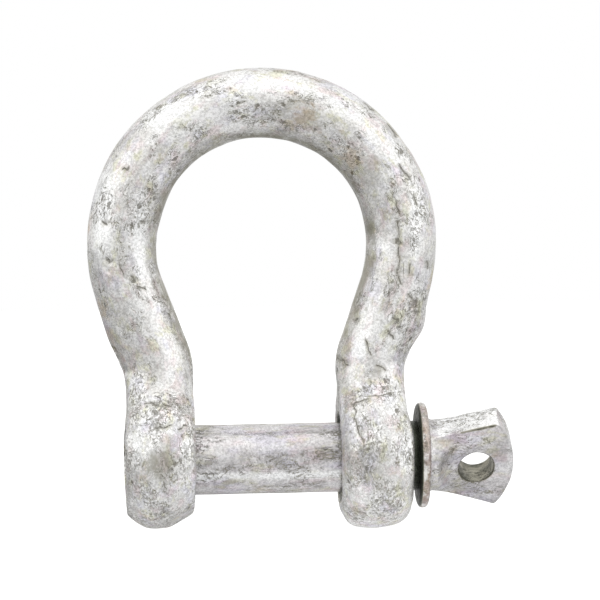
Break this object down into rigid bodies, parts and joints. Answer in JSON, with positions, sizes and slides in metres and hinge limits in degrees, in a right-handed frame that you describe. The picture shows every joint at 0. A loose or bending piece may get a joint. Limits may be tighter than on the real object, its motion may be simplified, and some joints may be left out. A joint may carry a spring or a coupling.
{
  "type": "bow shackle",
  "caption": "Forged galvanised bow shackle with a right-hand screw pin that has a collar and a flat eye.",
  "frame": {"origin": "on the pin's axis, midway between the ears' inner faces", "axes": "+X along the pin towards its eye, +Z from the pin to the crown of the bow"},
  "size_m": [0.0605, 0.0204, 0.0662],
  "materials": {
    "galvanised_bow": "hot-dip galvanised forging, matt light grey, mottled and finely pitted",
    "galvanised_pin": "hot-dip galvanised, matt light grey, smoother than the bow",
    "galvanised_collar": "hot-dip galvanised, with a worn and slightly rusty rim"
  },
  "bodies": {
    "bow": {"bow_body": "galvanised_bow"},
    "collar": {"pin_collar": "galvanised_collar"},
    "pin": {"screw_pin": "galvanised_pin"}
  },
  "joints": [
    {"name": "pin_travel", "type": "slide", "parent": "bow", "child": "collar", "axis": [1, 0, 0], "range_m": [0, 0.06]},
    {"name": "pin_turn", "type": "hinge", "parent": "collar", "child": "pin", "pos_m": [0, 0, 0], "axis": [1, 0, 0], "range_deg": [0, 14400]}
  ],
  "couplings": [
    {"joint": "pin_turn", "follows": "pin_travel", "rad_per_m": 4188.8}
  ]
}
